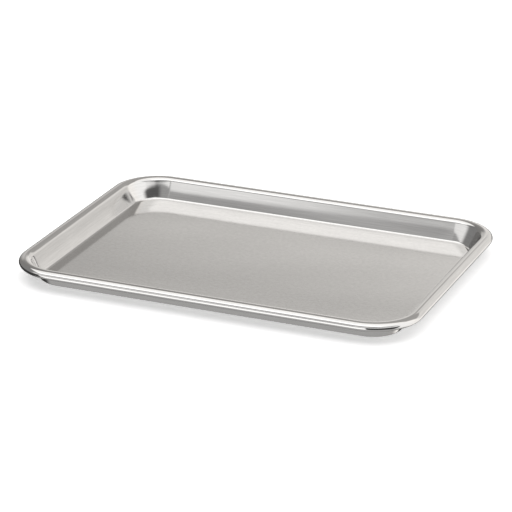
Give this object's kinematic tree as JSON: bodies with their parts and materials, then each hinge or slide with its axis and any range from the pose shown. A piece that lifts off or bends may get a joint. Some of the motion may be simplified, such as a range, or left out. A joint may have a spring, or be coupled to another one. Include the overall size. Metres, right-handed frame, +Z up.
{
  "type": "developing tray",
  "caption": "Shallow rectangular stainless tray with sloped walls, rounded corners and a rim rolled over a wire.",
  "frame": {"origin": "centre of the underside of the floor, on the surface that the tray stands on", "axes": "+X along the long sides, +Y along the short sides, +Z up"},
  "size_m": [0.4, 0.3, 0.021],
  "materials": {
    "stainless_sheet": "bright satin stainless sheet, fine grain, polished enough to mirror its own walls",
    "galvanised_wire": "dull zinc-coated steel wire"
  },
  "bodies": {
    "root": {"tray_pan": "stainless_sheet", "rim_wire": "galvanised_wire"}
  },
  "joints": []
}
